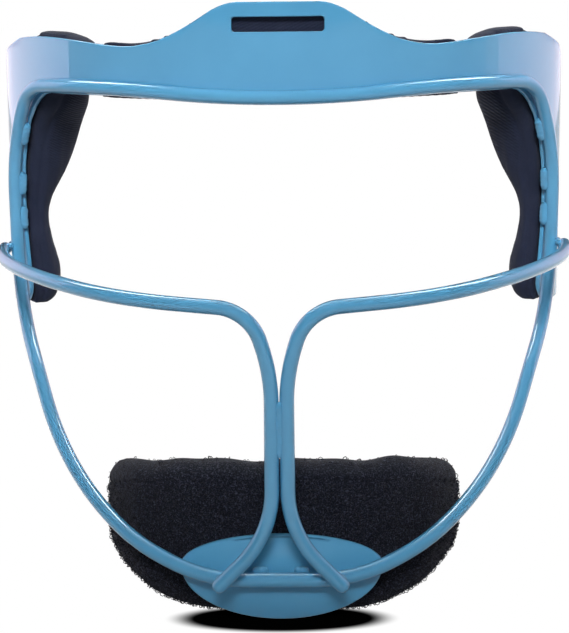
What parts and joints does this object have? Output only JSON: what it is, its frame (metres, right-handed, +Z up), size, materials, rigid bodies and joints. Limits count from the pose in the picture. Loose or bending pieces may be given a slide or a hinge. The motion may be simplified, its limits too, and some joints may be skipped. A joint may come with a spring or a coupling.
{
  "type": "softball face guard",
  "caption": "Welded wire and sheet face guard with a brow band, cheek bars, a dished chin plate and pull-off knit pads.",
  "frame": {"origin": "middle of the bounding box's base: on the floor under the middle of the guard", "axes": "+Z up, -Y out of the front of the guard, X across the face"},
  "size_m": [0.2068, 0.1246, 0.1997],
  "materials": {
    "powder_coat_blue": "glossy",
    "hook_tape": "matte",
    "pad_knit": "knit",
    "pad_terry": "terry",
    "foam": "matte"
  },
  "bodies": {
    "guard_frame": {"brow_plate": "powder_coat_blue", "face_loop": "powder_coat_blue", "cheek_bar_left": "powder_coat_blue", "cheek_bar_right": "powder_coat_blue", "chin_plate": "powder_coat_blue", "side_welds_left": "powder_coat_blue", "side_welds_right": "powder_coat_blue", "tail_weld_left": "powder_coat_blue", "tail_weld_right": "powder_coat_blue", "centre_bar_weld": "powder_coat_blue", "chin_tacks": "powder_coat_blue", "bar_foot_welds": "powder_coat_blue", "brow_hook_strip": "hook_tape", "temple_hook_left": "hook_tape", "temple_hook_right": "hook_tape", "wing_hook_left": "hook_tape", "wing_hook_right": "hook_tape", "chin_hook_patch": "hook_tape"},
    "brow_pad": {"brow_pad_cover": "pad_knit", "brow_pad_foam": "foam"},
    "side_pad_left": {"side_pad_cover_left": "pad_knit", "side_pad_foam_left": "foam"},
    "side_pad_right": {"side_pad_cover_right": "pad_knit", "side_pad_foam_right": "foam"},
    "chin_pad": {"chin_pad_cover": "pad_terry", "chin_pad_foam": "foam"}
  },
  "joints": [
    {"name": "brow_pad_pull", "type": "slide", "parent": "guard_frame", "child": "brow_pad", "axis": [0, 1, 0], "range_m": [0, 0.1]},
    {"name": "side_pad_left_pull", "type": "slide", "parent": "guard_frame", "child": "side_pad_left", "axis": [0, 1, 0], "range_m": [0, 0.08]},
    {"name": "side_pad_right_pull", "type": "slide", "parent": "guard_frame", "child": "side_pad_right", "axis": [0, 1, 0], "range_m": [0, 0.08]},
    {"name": "chin_pad_pull", "type": "slide", "parent": "guard_frame", "child": "chin_pad", "axis": [0, 1, 0], "range_m": [0, 0.13]}
  ]
}
